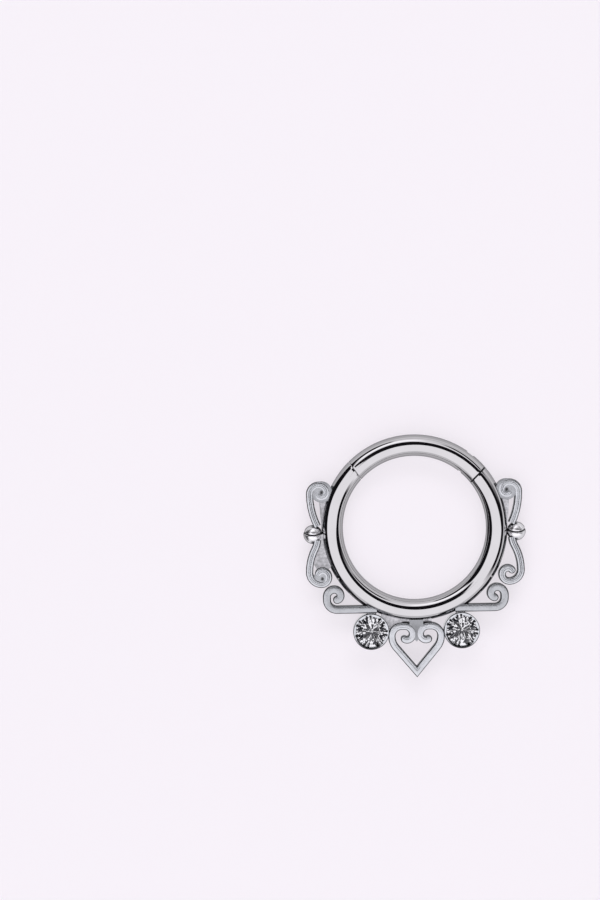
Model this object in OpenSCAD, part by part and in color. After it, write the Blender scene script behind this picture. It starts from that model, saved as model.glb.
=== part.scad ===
// Hinged septum ring with a filigree drop.
// The ring lies on its side: its axis is Z, the front faces up, the drop points to -Y.
// The origin is under the middle of the outline, on the surface that the ring lies on.
// All sizes are in millimetres.

/* [Ring wire] */
// Clear width inside the closed ring
inner_d = 8; // [7:0.5:10]
// Thickness of the round wire
wire_d = 1.2; // [1.1:0.1:1.4]

/* [Hinged segment] */
// Where the closing cut crosses the wire, in degrees counted from +X
latch_at = 135.4; // [125:1:145]
// Lean of the closing cut away from the radius, in degrees
latch_lean = -10.4; // [-15:1:15]
// Where the hinge cut crosses the wire, in degrees counted from +X
hinge_at = 39; // [36:0.5:41]
// Lean of the hinge cut away from the radius, in degrees
hinge_lean = 6.2; // [0:0.5:10]
// Open width of the closing cut
latch_gap = 0.05; // [0.03:0.01:0.1]
// Open width of the hinge cut
hinge_gap = 0.07; // [0.05:0.01:0.12]

/* [Hinge] */
// Angle from the hinge cut to the pin, in degrees around the ring
pin_turn = 12.4; // [11:0.2:14]
// How far the pin's axis lies outside the middle of the wire
pin_offset = 0.22; // [0.1:0.02:0.26]
// Diameter of the hinge pin
pin_d = 0.3; // [0.24:0.02:0.34]
// Thickness of the tongue between the two cheeks
tongue_t = 0.44; // [0.36:0.02:0.5]
// Radius of the tongue's round end, about the pin
knuckle_r = 0.32; // [0.28:0.01:0.34]
// Free play at each side of the tongue and round its end
tongue_play = 0.03; // [0.02:0.005:0.05]
// Widening of the slot's round end towards the outside, which the tongue needs as the ring opens
slot_room = 0.15; // [0.12:0.01:0.18]
// Free play of the tongue's hole round the pin
pin_play = 0.025; // [0.015:0.005:0.04]
// Gap of the cheeks' holes round the pin
pin_seat_gap = 0.01; // [0.005:0.005:0.015]

/* [Latch] */
// Radius of the round nub on the free end
nub_r = 0.26; // [0.2:0.01:0.28]
// How far the nub sits towards the inside of the ring
nub_shift = 0.06; // [0:0.01:0.1]
// Free play of the nub in its socket
nub_play = 0.03; // [0.02:0.005:0.04]

/* [Scrolls] */
// Width of the scrolls' strip
scroll_w = 0.4; // [0.34:0.02:0.44]
// Width of the straight bar that runs in from the lowest curl
bar_w = 0.44; // [0.38:0.02:0.5]
// Front-to-back depth of the scrolls and the heart
filigree_t = 0.8; // [0.5:0.05:1]
// Diameter of the side beads
bead_d = 1.06; // [0.9:0.02:1.2]
// Width of the seam round each bead
seam_w = 0.07; // [0.04:0.01:0.1]
// How deep soldered pieces sink into each other
solder_bite = 0.05; // [0.03:0.01:0.08]
// Depth of the thin solder webs
web_t = 0.5; // [0.3:0.05:0.7]

/* [Heart] */
// Overall width of the heart
heart_w = 3.15; // [3:0.05:3.4]
// Width of the heart's strip
heart_strip = 0.4; // [0.34:0.02:0.44]
// Gap between the ring and the tops of the heart's lobes
heart_gap = 0.09; // [0.06:0.01:0.14]
// Width of the neck that joins the heart to the ring
neck_w = 0.76; // [0.64:0.02:0.8]

/* [Stones and cups] */
// Diameter of the round stones
stone_d = 1.7; // [1.5:0.05:1.9]
// Wall of the bezel cups
cup_wall = 0.13; // [0.1:0.01:0.16]
// Gap between stone and cup
stone_gap = 0.02; // [0.01:0.005:0.03]
// Diameter of the hole in the back of each cup
cup_back_d = 0.6; // [0.4:0.05:0.8]
// How far the cup's rim folds in over the stone
rim_lap = 0.07; // [0.04:0.01:0.1]
// Height of the stones' points over the surface that the ring lies on
point_up = 0.3; // [0.15:0.05:0.4]
// Gap between the ring and the cups
cup_gap = 0.09; // [0.05:0.01:0.15]

/* [Hidden] */
$fn = 96;

steel = [0.78, 0.79, 0.81];
crystal = [0.92, 0.95, 0.98, 0.6];

wire_r = wire_d / 2;
mid_r = inner_d / 2 + wire_r;
outer_r = inner_d / 2 + wire_d;
far = 2 * outer_r;

// Reach of the drop below the ring's centre, and the shift that centres the outline
heart_half = (heart_w - heart_strip) / 2;
heart_slope = 50;
heart_top = -outer_r - heart_gap;

// Pin axis
pin_at = hinge_at + pin_turn;
pin_r = mid_r + pin_offset;
pin_xy = pin_r * [cos(pin_at), sin(pin_at)];

// Middle of the latch nub and the way it leaves its socket
latch_dir = latch_at + latch_lean;
nub_xy = mid_r * [cos(latch_at), sin(latch_at)] - nub_shift * [cos(latch_dir), sin(latch_dir)];
nub_arm = nub_xy - pin_xy;
nub_leaves = atan2(nub_arm[1], nub_arm[0]) - 90;

cup_r = stone_d / 2 + stone_gap + cup_wall;
cup_x = heart_w / 2 + cup_r - solder_bite;
cup_y = -sqrt(pow(outer_r + cup_gap + cup_r, 2) - cup_x * cup_x);
bead_x = outer_r + bead_d / 2 - solder_bite;
bead_y = -0.057 * outer_r;

// Each row of a run is one stretch: the radius of a bend and how far it turns,
// left positive and right negative, or the length of a straight stretch and 0.
// Lengths are shares of the ring's outer radius, or of the heart's half width.
// A start is the place and the heading in degrees, its lengths as the same shares.
REACH = 0;
TURN = 1;
bend_step = 10;

upper_start = [1.042, 0.03, 64];
UPPER_SCROLL = [
    [0.78, 26],
    [0.1, 95],
    [0.077, 85],
    [0.052, 120],
];
upper_eye = [0.9925, 0.4];
upper_button = 0.085;

lower_start = [1.044, -0.12, -84];
LOWER_SCROLL = [
    [0.25, 22],
    [0.54, -28],
    [0.127, -90],
    [0.077, -90],
    [0.066, -90],
    [0.046, -60],
];

// The bar runs out from over the cup to where its curl begins
bar_y = -0.868;
bar_from = (cup_x - cup_r / 3) / outer_r;
bar_to = 0.848;
BAR_SCROLL = [
    [bar_to - bar_from, 0],
    [0.106, 90],
    [0.03, 0],
    [0.081, 90],
    [0.066, 90],
    [0.046, 80],
];

HEART_RUN = [
    [1.292, 0],
    [0.726, 40],
    [0.399, 90],
    [0.12, 0],
    [0.327, 90],
    [0.235, 90],
    [0.174, 35],
];

// Corners of the thin webs where solder has run, as shares of the outer radius
CURL_WEB = [[0.9, 0.36], [1.02, 0.31], [1.004, 0.09], [0.99, 0], [0.95, 0]];
SCROLL_WEB = [
    [0.955, -0.03], [1.03, -0.08], [1.05, -0.18], [1.063, -0.29],
    [1.08, -0.36], [1, -0.42], [0.9, -0.4], [0.881, -0.356],
];
LOBE_WEB = [[0.365, -0.904], [0.154, -0.962], [0.154, -1.048], [0.26, -1.125], [0.337, -1.115], [0.375, -0.956]];

heart_reach_share = HEART_RUN[0][REACH] * sin(heart_slope) + HEART_RUN[1][REACH] * cos(heart_slope)
    + HEART_RUN[2][REACH];
heart_start_y = heart_top - heart_strip / 2 - heart_reach_share * heart_half;
heart_tip_y = heart_start_y - heart_strip / 2 / cos(heart_slope);
heart_crotch_y = heart_start_y + heart_strip / 2 / cos(heart_slope);
neck_low_y = heart_top - 0.35 * heart_half;
notch_y = heart_top - 0.56 * heart_half;
centre_y = -(outer_r + heart_tip_y) / 2;

// Shares of the stone's diameter, as a round brilliant is cut
table_share = 0.56;
crown_share = 0.15;
girdle_share = 0.04;
pavilion_share = 0.42;
star_share = 0.55;
lower_share = 0.8;
crown_h = crown_share * stone_d;
girdle_h = girdle_share * stone_d;
pavilion_h = pavilion_share * stone_d;
crown_slope = crown_h / (stone_d / 2 * (1 - table_share));
girdle_z = point_up + pavilion_h;
rim_z = girdle_z + girdle_h + stone_gap;
cup_h = rim_z + rim_lap * crown_slope;

// Direction at right angles to a heading, to its left
function left_of(heading) = [-sin(heading), cos(heading)];

// Place and heading after a share of one stretch
function moved(p, row, unit, share) =
    let (h = p[2] + share * row[TURN], r = row[REACH] * unit, side = sign(row[TURN]))
    row[TURN] == 0
        ? [p[0] + share * r * cos(h), p[1] + share * r * sin(h), h]
        : [p[0] + side * r * (sin(h) - sin(p[2])), p[1] + side * r * (cos(p[2]) - cos(h)), h];

// Place and heading before stretch i of a run
function before(run, start, unit, i) =
    i == 0
        ? [start[0] * unit, start[1] * unit, start[2]]
        : moved(before(run, start, unit, i - 1), run[i - 1], unit, 1);

// Points of the edge that runs beside the middle line, off to its left
function beside(run, start, unit, off) = [
    for (i = [0:len(run) - 1])
        let (p = before(run, start, unit, i), n = max(1, ceil(abs(run[i][TURN]) / bend_step)))
        for (k = [i == 0 ? 0 : 1:n])
            let (q = moved(p, run[i], unit, k / n))
            [q[0], q[1]] + off * left_of(q[2])
];

// Points of the round end of a run, from its right to its left
function round_end(run, start, unit, w) =
    let (q = before(run, start, unit, len(run)), n = 12)
    [for (k = [1:n - 1]) [q[0], q[1]] + w / 2 * [cos(q[2] - 90 + 180 * k / n), sin(q[2] - 90 + 180 * k / n)]];

function backwards(points) = [for (i = [len(points) - 1:-1:0]) points[i]];
function without_first(points) = [for (i = [1:len(points) - 1]) points[i]];
function mirrored(points) = [for (p = points) [-p[0], p[1]]];

module place() {
    translate([0, centre_y, wire_r]) children();
}

// The whole wire ring, about its own centre
module wire_ring() {
    rotate_extrude() translate([mid_r, 0]) circle(r = wire_r);
}

// Half space on one side of a cut: side 1 is anticlockwise of it, side -1 clockwise
module beyond_cut(at, lean, side, gap) {
    translate([mid_r * cos(at), mid_r * sin(at), 0])
        rotate([0, 0, at + lean])
            translate([-far, side > 0 ? gap / 2 : -gap / 2 - far, -far])
                cube([2 * far, far, 2 * far]);
}

module segment_zone(grow) {
    intersection() {
        beyond_cut(hinge_at, hinge_lean, 1, grow * hinge_gap);
        beyond_cut(latch_at, latch_lean, -1, grow * latch_gap);
        translate([-far, 0, -far]) cube([2 * far, far, 2 * far]);
    }
}

// Slab across the middle of the wire
module mid_slab(t) {
    translate([-far, -far, -t / 2]) cube([2 * far, 2 * far, t]);
}

module at_pin() {
    translate([pin_xy[0], pin_xy[1], 0]) children();
}

// Everything on the tongue's side of the radius through the pin
module tongue_side(back) {
    rotate([0, 0, pin_at])
        translate([0, -far - back, -far])
            cube([far, far, 2 * far]);
}

module fork_slot() {
    slot_t = tongue_t + 2 * tongue_play;
    for (out = [0, slot_room])
        at_pin() rotate([0, 0, pin_at]) translate([out, 0, 0])
            cylinder(r = knuckle_r + tongue_play, h = slot_t, center = true);
    intersection() {
        mid_slab(slot_t);
        tongue_side(0);
    }
}

module tongue() {
    at_pin() cylinder(r = knuckle_r, h = tongue_t, center = true);
    intersection() {
        wire_ring();
        mid_slab(tongue_t);
        tongue_side(tongue_play + pin_d / 2);
        beyond_cut(hinge_at, hinge_lean, 1, -2 * hinge_gap);
    }
}

// Round-ended bore for the nub, open the way the nub swings out
module latch_socket() {
    r = nub_r + nub_play;
    translate([nub_xy[0], nub_xy[1], 0])
        rotate([0, 0, nub_leaves])
            rotate([0, 90, 0])
                rotate_extrude()
                    intersection() {
                        union() {
                            circle(r = r);
                            translate([0, 0]) square([r, wire_d]);
                        }
                        translate([0, -wire_d]) square([wire_d, 2.5 * wire_d]);
                    }
}

// Domed peg on the segment's free end, its dome pointing across the cut
module latch_nub() {
    root = nub_r / 2;
    translate([nub_xy[0], nub_xy[1], 0])
        rotate([0, 0, latch_dir])
            rotate([-90, 0, 0])
                rotate_extrude()
                    intersection() {
                        union() {
                            circle(r = nub_r);
                            translate([0, -root]) square([nub_r, root]);
                        }
                        translate([0, -root]) square([wire_d, wire_d]);
                    }
}

// Outline of a strip that follows a run and ends round
module strip(run, start, unit, w) {
    polygon(concat(
        beside(run, start, unit, -w / 2),
        round_end(run, start, unit, w),
        backwards(beside(run, start, unit, w / 2))));
}

module shares_polygon(points) {
    polygon([for (p = points) p * outer_r]);
}

module slab(t) {
    linear_extrude(height = t, center = true) children();
}

// Openwork of one side, its pieces united one by one
module side_openwork() {
    slab(filigree_t) strip(UPPER_SCROLL, upper_start, outer_r, scroll_w);
    slab(filigree_t) translate(upper_eye * outer_r) circle(r = upper_button * outer_r);
    slab(filigree_t) strip(LOWER_SCROLL, lower_start, outer_r, scroll_w);
    slab(filigree_t) strip(BAR_SCROLL, [bar_from, bar_y, 0], outer_r, bar_w);
    slab(web_t) shares_polygon(CURL_WEB);
    slab(web_t) cup_post();
}

// Solder between the bar and the top of the cup
module cup_post() {
    low = cup_y + 0.8 * cup_r;
    translate([cup_x - cup_r / 3, low]) square([cup_r * 0.6, bar_y * outer_r - low]);
}

// Whole heart as one outline: tip, right lobe and curl, crotch, then the same mirrored
module heart() {
    start = [0, heart_start_y / heart_half, heart_slope];
    half = concat(
        without_first(beside(HEART_RUN, start, heart_half, -heart_strip / 2)),
        round_end(HEART_RUN, start, heart_half, heart_strip),
        backwards(without_first(beside(HEART_RUN, start, heart_half, heart_strip / 2))));
    polygon(concat([[0, heart_tip_y]], half, [[0, heart_crotch_y]], backwards(mirrored(half))));
}

module neck() {
    high = -outer_r + solder_bite;
    polygon([
        [0, notch_y],
        [neck_w / 2, neck_low_y],
        [neck_w / 2, high],
        [-neck_w / 2, high],
        [-neck_w / 2, neck_low_y]]);
}

module openwork() {
    side_openwork();
    mirror([1, 0, 0]) side_openwork();
    slab(filigree_t) heart();
    slab(filigree_t) neck();
    mirror([1, 0, 0]) {
        slab(web_t) shares_polygon(SCROLL_WEB);
        slab(web_t) shares_polygon(LOBE_WEB);
    }
}

// Bead with a seam round it, the seam's circle leaning towards the front
module bead() {
    seam_off = 0.32 * bead_d / 2;
    seam_r = sqrt(pow(bead_d / 2, 2) - seam_off * seam_off);
    difference() {
        sphere(d = bead_d);
        rotate([-66, 0, 0])
            translate([0, 0, seam_off])
                rotate_extrude() translate([seam_r, 0]) circle(r = seam_w / 2, $fn = 24);
    }
}

// Cup and its cone-shaped seat
module cup() {
    translate([0, 0, -wire_r]) cylinder(r = cup_r, h = cup_h);
}

module cup_bore() {
    back_r = cup_back_d / 2;
    bore_r = stone_d / 2 + stone_gap;
    seat_z = girdle_z - stone_gap;
    seat_h = pavilion_h * (1 - back_r / bore_r);
    translate([0, 0, -wire_r]) {
        translate([0, 0, -wire_d]) cylinder(r = back_r, h = far);
        translate([0, 0, seat_z - seat_h]) cylinder(r1 = back_r, r2 = bore_r, h = seat_h);
        translate([0, 0, seat_z]) cylinder(r = bore_r, h = rim_z - seat_z);
        translate([0, 0, rim_z]) cylinder(r1 = bore_r, r2 = bore_r - rim_lap, h = rim_lap * crown_slope);
        translate([0, 0, cup_h - crown_slope * solder_bite / 2]) cylinder(r = bore_r - rim_lap, h = wire_d);
    }
}

module at_cup(side) {
    translate([side * cup_x, cup_y, 0]) children();
}

// Ring, openwork, beads and cups are soldered up as one piece
module ring_body() {
    color(steel) place() difference() {
        union() {
            difference() {
                wire_ring();
                segment_zone(-1);
            }
            tongue();
            openwork();
            for (side = [-1, 1]) {
                translate([side * bead_x, bead_y, 0]) bead();
                at_cup(side) cup();
            }
        }
        at_pin() cylinder(d = pin_d + 2 * pin_play, h = far, center = true);
        latch_socket();
        for (side = [-1, 1]) at_cup(side) cup_bore();
    }
}

module hinged_segment() {
    color(steel) place() {
        difference() {
            intersection() {
                wire_ring();
                segment_zone(1);
            }
            fork_slot();
            at_pin() cylinder(d = pin_d + 2 * pin_seat_gap, h = far, center = true);
        }
        latch_nub();
    }
}

module hinge_pin() {
    color(steel) place() intersection() {
        at_pin() cylinder(d = pin_d, h = far, center = true);
        wire_ring();
    }
}

// Round brilliant, its girdle's lower edge at height 0
module brilliant() {
    r = stone_d / 2;
    table_r = table_share * r;
    star_r = table_r + star_share * (r - table_r);
    star_z = girdle_h + crown_h * (r - star_r * cos(22.5)) / (r - table_r);
    waist_r = r * (1 - lower_share);
    waist_z = -pavilion_h * (1 - waist_r * cos(22.5) / r);
    table = [for (k = [0:7]) [table_r * cos(45 * k + 22.5), table_r * sin(45 * k + 22.5), girdle_h + crown_h]];
    star = [for (k = [0:7]) [star_r * cos(45 * k), star_r * sin(45 * k), star_z]];
    high = [for (k = [0:15]) [r * cos(22.5 * k), r * sin(22.5 * k), girdle_h]];
    low = [for (k = [0:15]) [r * cos(22.5 * k), r * sin(22.5 * k), 0]];
    waist = [for (k = [0:7]) [waist_r * cos(45 * k), waist_r * sin(45 * k), waist_z]];
    // Where each ring of corners begins in the list of points
    S = 8;
    H = 16;
    L = 32;
    W = 48;
    C = 56;
    polyhedron(
        points = concat(table, star, high, low, waist, [[0, 0, -pavilion_h]]),
        faces = concat(
            [[for (k = [7:-1:0]) k]],
            [for (k = [0:7]) [(k + 7) % 8, k, S + k]],
            [for (k = [0:7]) [k, S + (k + 1) % 8, H + 2 * k + 1, S + k]],
            [for (k = [0:7]) [S + k, H + 2 * k + 1, H + 2 * k]],
            [for (k = [0:7]) [S + k, H + 2 * k, H + (2 * k + 15) % 16]],
            [for (j = [0:15]) [H + j, H + (j + 1) % 16, L + (j + 1) % 16, L + j]],
            [for (k = [0:7]) [W + k, L + 2 * k, L + 2 * k + 1]],
            [for (k = [0:7]) [W + k, L + (2 * k + 15) % 16, L + 2 * k]],
            [for (k = [0:7]) [C, W + k, L + 2 * k + 1, W + (k + 1) % 8]]));
}

module stone(side) {
    color(crystal) place() at_cup(side) translate([0, 0, girdle_z - wire_r]) brilliant();
}

module stone_left() {
    stone(-1);
}

module stone_right() {
    stone(1);
}

ring_body();
hinged_segment();
hinge_pin();
stone_left();
stone_right();
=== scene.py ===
"""Hinged septum ring with a filigree drop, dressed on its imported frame."""

import math

import bmesh
import bpy
import numpy as np
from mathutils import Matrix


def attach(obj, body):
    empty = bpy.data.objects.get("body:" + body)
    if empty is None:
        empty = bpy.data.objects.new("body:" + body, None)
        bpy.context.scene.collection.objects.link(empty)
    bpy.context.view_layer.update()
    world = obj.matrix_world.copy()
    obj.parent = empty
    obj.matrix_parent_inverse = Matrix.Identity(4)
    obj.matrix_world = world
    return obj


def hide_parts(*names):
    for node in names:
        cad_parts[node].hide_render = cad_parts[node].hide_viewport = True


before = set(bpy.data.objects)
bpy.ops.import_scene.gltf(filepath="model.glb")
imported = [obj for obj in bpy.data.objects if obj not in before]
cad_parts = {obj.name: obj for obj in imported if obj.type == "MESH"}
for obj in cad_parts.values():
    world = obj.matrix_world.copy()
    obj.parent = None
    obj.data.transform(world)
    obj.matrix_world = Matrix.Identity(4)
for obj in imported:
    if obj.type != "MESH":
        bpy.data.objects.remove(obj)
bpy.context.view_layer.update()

bl_info = {
    "name": "Septum Ring",
    "version": (1, 0, 0),
    "blender": (4, 5, 0),
    "location": "View3D > Sidebar > Septum Ring",
    "description": "Hinged septum ring with scrolls, beads, heart and two set stones",
    "category": "Add Mesh",
}

MM = 0.001

# Runs of the bent strips. Each row is a bend's radius and how far it turns, left positive and
# right negative, or a straight stretch's length and 0. Lengths are shares of the unit.
UPPER_SCROLL = [[0.78, 26], [0.1, 95], [0.077, 85], [0.052, 120]]
LOWER_SCROLL = [[0.25, 22], [0.54, -28], [0.127, -90], [0.077, -90], [0.066, -90], [0.046, -60]]
BAR_CURL = [[0.106, 90], [0.03, 0], [0.081, 90], [0.066, 90], [0.046, 80]]
HEART_RUN = [[1.292, 0], [0.726, 40], [0.399, 90], [0.12, 0], [0.327, 90], [0.235, 90], [0.174, 35]]
# Where the scrolls start, as shares of the ring's outer radius, and their heading in degrees
UPPER_START = (1.042, 0.03, 64)
LOWER_START = (1.044, -0.12, -84)
# Slope at which the heart's strip leaves its lower tip
HEART_SLOPE = 50
# Height and end of the bars and height of the beads, as shares of the ring's outer radius
BAR_Y = -0.868
BAR_END = 0.848
BEAD_Y = -0.057
# Discs that fill the curls, (across, up, radius), and the depth of their dimple. The upper ones
# are shares of the ring's outer radius, the lower left one is in millimetres
UPPER_DISC, UPPER_DIMPLE = (0.9925, 0.398, 0.114), 0.014
LOWER_DISC, LOWER_DIMPLE = (-5.19, -2.755, 0.48), 0.016
DISC_DEPTH = 0.956
# The strips' section: radius of its corners, fall of its face towards them, depth of an engraved
# line and fall of the face at a rounded end
STRIP_EDGE, FACE_FALL, LINE_DEPTH, TIP_FALL = 0.085, 0.008, 0.02, 0.05
# Engraved lines, as shares of the strip's half width: places, width, and the heart's fainter one
SCROLL_LINES, LINE_WIDTH = (-0.4, 0.35), 0.11
HEART_LINES, HEART_LINE_DEPTH = (-0.4,), 0.008
# Corners of the neck's right side, from its top and its foot, and its tip between the curls
NECK_TOP = [[0, 0], [0, -0.36]]
NECK_FOOT = [[0.06, 0.3], [-0.06, 0.1]]
NECK_TIP = -0.3
# How far cups and heart overlap
CUP_LAP = 0.05
# Lean of the beads' axis in degrees, and the height of their groove as a share of their radius
BEAD_LEAN = 66
GROOVE_RISE = 0.32
# The round stone, as shares of its width: depth under and over the girdle, the girdle's height
# and the table's width
PAVILION, CROWN, GIRDLE, TABLE = 0.42, 0.15, 0.04, 0.56
# Play of the pin's holes in tongue and cheeks, how deep the bore's and the pin's ends lie under
# the wire's surface, and how far behind the pin the flat faces round it fan out
TONGUE_HOLE_PLAY, BORE_PLAY = 0.025, 0.01
BORE_SINK, PIN_SINK = 0.03, 0.035
FAN_BACK = 0.05
# Height over which the rounding of an end at the hinge fades out
EDGE_FADE = 0.06
# Points nearer than this are one, and faces thinner than this go, in metres
MERGE, THIN = 4e-7, 1e-8

# Corners of the thin webs where solder has run, as shares of the ring's outer radius
CURL_WEB = [[0.9, 0.36], [1.02, 0.31], [1.004, 0.09], [0.99, 0], [0.95, 0]]
SCROLL_WEB = [
    [-0.955, -0.03], [-1.03, -0.08], [-1.05, -0.18], [-1.063, -0.29], [-1.085, -0.38],
    [-1.04, -0.46], [-0.97, -0.46], [-0.915, -0.42], [-0.881, -0.356],
]
LOBE_WEB = [
    [-0.365, -0.904], [-0.154, -0.962], [-0.154, -1.048], [-0.26, -1.125],
    [-0.337, -1.115], [-0.375, -0.956],
]
# The ties between ring and heart beside the neck, and under them dark sheets of painted shadow in the
# gap
LOBE_TIE = [[0.06, -0.985], [0.165, -0.972], [0.165, -1.008], [0.06, -1.009]]
LOBE_GAP_SHADE = [[0.068, -1.003], [0.165, -1.002], [0.165, -1.035], [0.068, -1.035]]


# Sizes and colours


def length(name, description, default, low, high):
    return bpy.props.FloatProperty(
        name=name, description=description, default=default * MM, min=low * MM, max=high * MM,
        unit="LENGTH", precision=5,
    )


def turn(name, description, default, low, high):
    return bpy.props.FloatProperty(
        name=name, description=description, default=math.radians(default),
        min=math.radians(low), max=math.radians(high), subtype="ANGLE",
    )


def colour(name, description, default):
    return bpy.props.FloatVectorProperty(
        name=name, description=description, default=default, size=3, min=0, max=1, subtype="COLOR"
    )


def share(name, description, default):
    return bpy.props.FloatProperty(
        name=name, description=description, default=default, min=0, max=1, subtype="FACTOR"
    )


def number(name, description, default, low, high, unit="NONE"):
    return bpy.props.FloatProperty(
        name=name, description=description, default=default, min=low, max=high, unit=unit
    )


def pointer(kind, name, description):
    return bpy.props.PointerProperty(type=kind, name=name, description=description)


class SeptumRingWire(bpy.types.PropertyGroup):
    inner_d: length("Inner diameter", "Clear width inside the closed ring", 8, 6, 12)
    wire_d: length("Wire", "Thickness of the round wire", 1.2, 0.8, 2)
    latch_at: turn("Latch place", "Where the closing cut crosses the wire", 135.4, 120, 150)
    latch_lean: turn("Latch lean", "Lean of the closing cut off the radius", -10.4, -20, 20)
    latch_gap: length("Latch gap", "Open width of the closing cut", 0.03, 0.01, 0.2)
    hinge_at: turn("Hinge place", "Where the hinge cut crosses the wire", 39, 30, 60)
    hinge_lean: turn("Hinge lean", "Lean of the hinge cut off the radius", 6.2, -20, 20)
    hinge_gap: length("Hinge gap", "Open width of the hinge cut", 0.07, 0.01, 0.2)
    pin_turn: turn("Pin turn", "Angle from the hinge cut to the pin", 12.4, 8, 20)
    pin_offset: length("Pin offset", "Distance of the pin outside the wire's middle", 0.22, 0, 0.4)
    pin_d: length("Pin", "Diameter of the hinge pin", 0.3, 0.1, 0.5)
    tongue_t: length("Tongue", "Thickness of the hinge's tongue", 0.44, 0.2, 0.8)
    knuckle_r: length("Knuckle", "Radius of the tongue's round end", 0.32, 0.2, 0.5)
    hinge_play: length("Hinge play", "Free play round the tongue", 0.03, 0.01, 0.1)
    slot_room: length("Slot room", "Room filed at the slot's outer end", 0.09, 0, 0.2)
    nub_r: length("Nub", "Radius of the nub on the free end", 0.26, 0.1, 0.4)
    nub_shift: length("Nub shift", "Shift of the nub towards the inside", 0.06, 0, 0.2)
    nub_play: length("Nub play", "Free play of the nub in its socket", 0.03, 0.01, 0.1)
    edge: length("Edge", "Rounding of the wire's cut ends", 0.015, 0.002, 0.1)


class SeptumRingFiligree(bpy.types.PropertyGroup):
    strip_w: length("Strip", "Width of the scrolls' strip", 0.4, 0.2, 0.8)
    bar_w: length("Bar", "Width of the straight bar", 0.44, 0.2, 0.8)
    depth: length("Depth", "Front-to-back depth of scrolls and heart", 0.8, 0.3, 1.2)
    bead_d: length("Bead", "Diameter of the side beads", 1.06, 0.5, 2)
    bead_sink: length("Bead sink", "How deep a bead sinks into the wire", 0.05, 0, 0.2)
    groove_w: length("Groove width", "Width of the groove round a bead", 0.1, 0.01, 0.2)
    groove_depth: length("Groove depth", "Depth of the groove round a bead", 0.08, 0.0, 0.2)
    heart_w: length("Heart", "Overall width of the heart", 3.15, 2, 5)
    heart_gap: length("Heart gap", "Gap between the ring and the heart's lobes", 0.09, 0, 0.5)
    neck_w: length("Neck", "Width of the neck over the heart", 0.76, 0.3, 1.5)
    web_t: length("Web", "Depth of the thin solder webs", 0.5, 0.1, 1)


class SeptumRingStones(bpy.types.PropertyGroup):
    stone_d: length("Stone", "Diameter of the round stones", 1.7, 1, 3)
    cup_wall: length("Cup wall", "Wall of the bezel cups", 0.13, 0.05, 0.4)
    stone_gap: length("Stone gap", "Gap between a stone and its cup", 0.02, 0.005, 0.1)
    cup_back_d: length("Cup back", "Diameter of the hole in a cup's back", 0.6, 0.1, 1)
    bevel_h: length("Bevel", "Height of the bevel cut in the rim", 0.05, 0, 0.2)
    rim_lap: length("Rim lap", "How far the rim folds in over the stone", 0.05, 0, 0.2)
    point_up: length("Point height", "Height of the stone's point over the floor", 0.3, 0.05, 0.6)
    cup_gap: length("Cup gap", "Gap between the ring and the cups", 0.09, 0, 0.5)


class SeptumRingFinish(bpy.types.PropertyGroup):
    polished: colour("Polished steel", "Colour of the mirror-polished wire", (0.50, 0.495, 0.505))
    polished_rough: share("Polish", "Roughness of the polished wire", 0.035)
    satin: colour("Satin steel", "Colour of the cast scrolls and heart", (0.49, 0.505, 0.53))
    satin_rough: share("Satin", "Roughness of the cast scrolls and heart", 0.24)
    bead: colour("Beads", "Colour of the side beads", (0.82, 0.82, 0.84))
    solder: colour("Solder", "Colour of the solder webs", (0.46, 0.46, 0.48))
    # The dark colour of painted shade: sawn ends, the beads' grooves, the cups' seats, the seams by the
    # heart, and other painted shade and reflections
    cut: colour("Cut steel", "Colour of the sawn ends and the cups' seats", (0.07, 0.07, 0.075))
    crystal: colour("Crystal", "Tint of the clear stones", (0.97, 0.98, 1.0))
    crystal_bend: number("Crystal index", "How strongly the stones bend light", 2.1, 1.4, 2.6)


class SeptumRingStage(bpy.types.PropertyGroup):
    floor_colour: colour("Floor", "Colour of the pale floor", (0.91, 0.868, 0.92))
    floor_glow: share("Floor glow", "Share of the floor's light that comes from below", 0.74)
    light: number("Light", "Strength of the soft studio light", 1.45, 0, 10)
    key_light: number("Key light", "Strength of the brighter lamp behind, as a share", 6, 0, 20)
    lens: number("Lens", "Focal length of the camera", 100, 20, 400, "CAMERA")


class SeptumRingSettings(bpy.types.PropertyGroup):
    wire: pointer(SeptumRingWire, "Wire", "Ring and hinge")
    filigree: pointer(SeptumRingFiligree, "Filigree", "Scrolls, beads and heart")
    stones: pointer(SeptumRingStones, "Stones", "Stones and cups")
    finish: pointer(SeptumRingFinish, "Finish", "Colours and polish")
    stage: pointer(SeptumRingStage, "Stage", "Floor, light and camera")


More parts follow.
